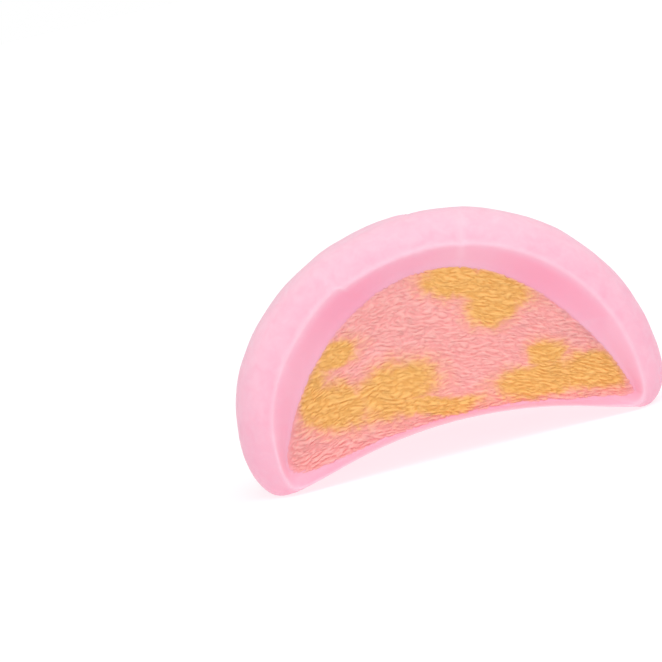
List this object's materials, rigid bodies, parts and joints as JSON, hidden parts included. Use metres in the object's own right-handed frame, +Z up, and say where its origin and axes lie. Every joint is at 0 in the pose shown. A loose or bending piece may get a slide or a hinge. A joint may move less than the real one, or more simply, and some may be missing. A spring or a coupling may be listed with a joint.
{
  "type": "cut mochi rice cake",
  "caption": "Cut mochi rice cake: a domed skin of pink rice dough rolls in over a flat cut face of rippled ice cream, on a softly arched base.",
  "frame": {"origin": "on the table, below the middle of the piece's bounding box", "axes": "+X along the cut face, left to right as seen from in front of it; -Y out of the cut face; +Z up"},
  "size_m": [0.0496, 0.0298, 0.0278],
  "materials": {
    "rice_dough": "matt, dusted with starch",
    "ice_cream": "soft scraped ice cream with a yellow ripple"
  },
  "bodies": {
    "root": {"rice_dough_skin": "rice_dough", "ice_cream_filling": "ice_cream"}
  },
  "joints": []
}
